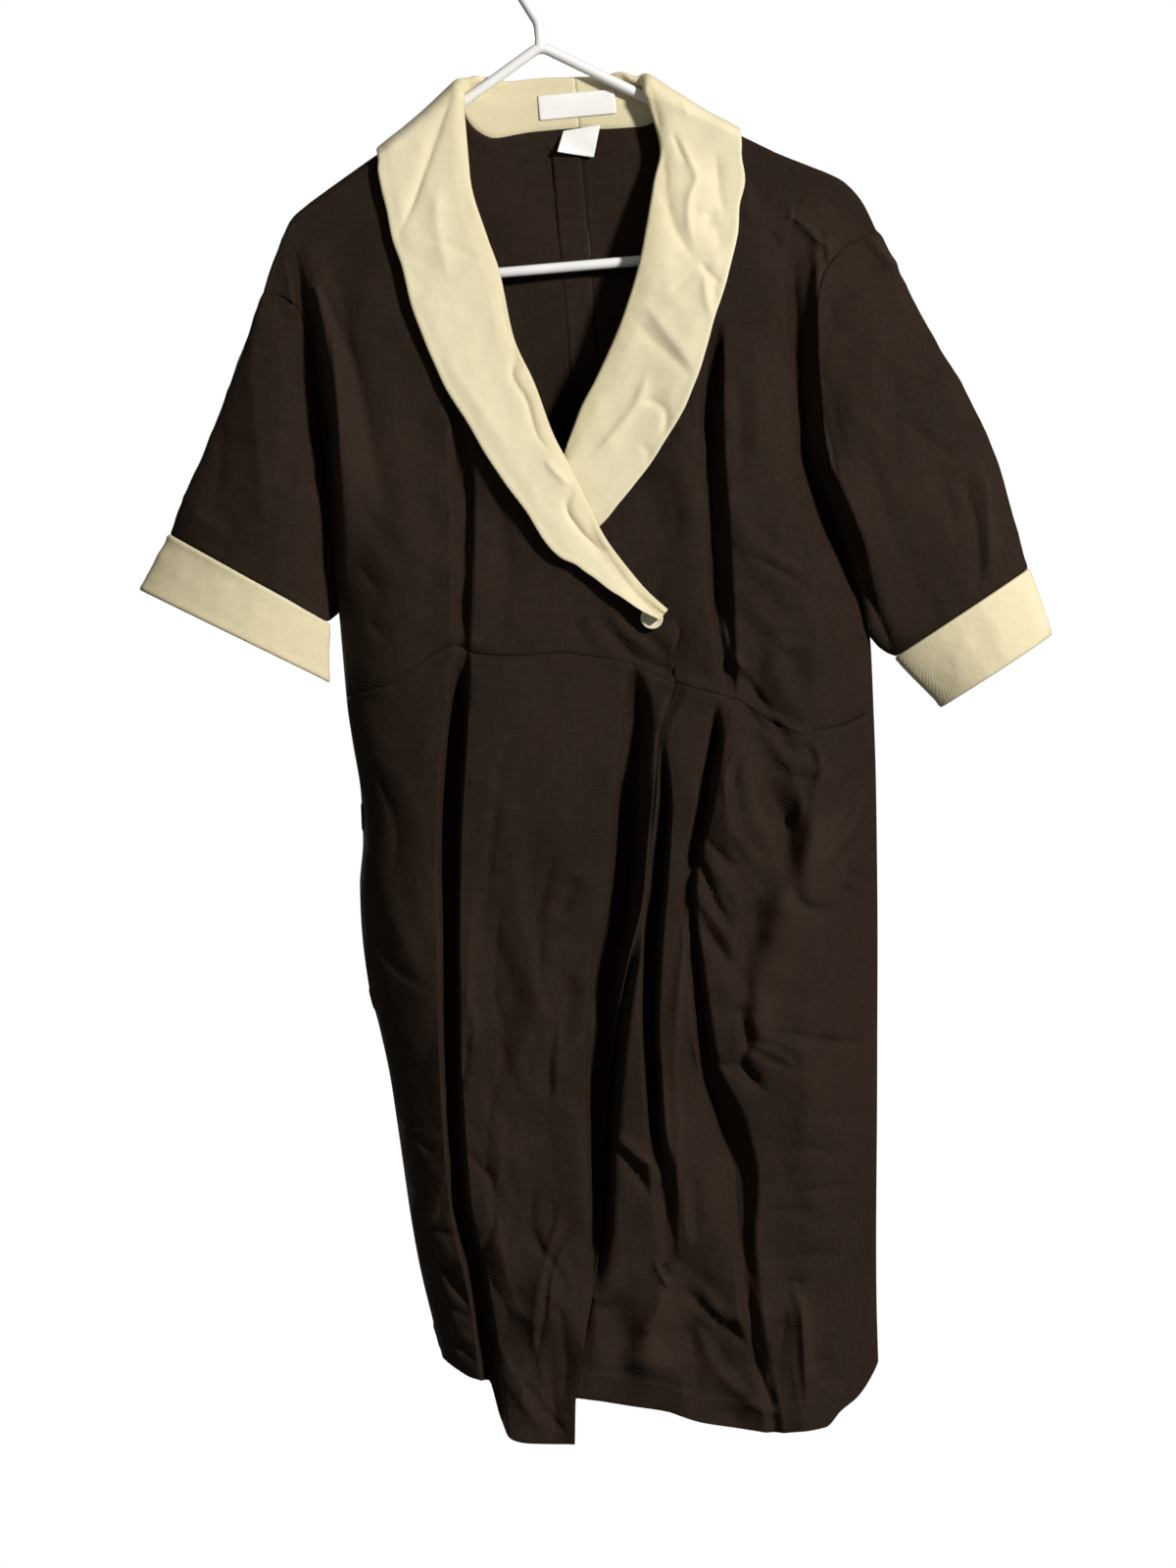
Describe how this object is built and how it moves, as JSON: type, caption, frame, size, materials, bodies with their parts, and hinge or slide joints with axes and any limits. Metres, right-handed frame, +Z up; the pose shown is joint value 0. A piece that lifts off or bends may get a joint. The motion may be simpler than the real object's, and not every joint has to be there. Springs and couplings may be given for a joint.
{
  "type": "waitress dress on a clothes hanger",
  "caption": "Knee-length wrap-front waitress dress in dark cloth with a pale shawl collar and cuffs, hanging open at the hem on a tube clothes hanger.",
  "frame": {"origin": "on the inner side of the crown of the hanger's hook, where a rail holds it", "axes": "+Z up along the hanging dress, +X to the viewer's right (the wearer's left), +Y away from the viewer, through the dress from front to back"},
  "size_m": [0.6888, 0.1011, 1.1457],
  "materials": {
    "brown_cloth": "very dark brown polyester twill with a soft sheen and pressed creases",
    "cream_cloth": "pale yellow cream polyester twill, edge stitched",
    "white_label": "bare white woven label",
    "cream_plastic": "dished cream button",
    "white_plastic": "smooth white plastic tube"
  },
  "bodies": {
    "root": {"bodice_front_right": "brown_cloth", "bodice_front_left": "brown_cloth", "bodice_back_right": "brown_cloth", "bodice_back_left": "brown_cloth", "back_pleat": "brown_cloth", "skirt_front_right": "brown_cloth", "skirt_front_left": "brown_cloth", "skirt_back": "brown_cloth", "sleeve_right": "brown_cloth", "sleeve_left": "brown_cloth", "cuff_right": "cream_cloth", "cuff_left": "cream_cloth", "collar_right": "cream_cloth", "collar_left": "cream_cloth", "button": "cream_plastic", "neck_label": "white_label", "care_label": "white_label", "hanger": "white_plastic"}
  },
  "joints": []
}
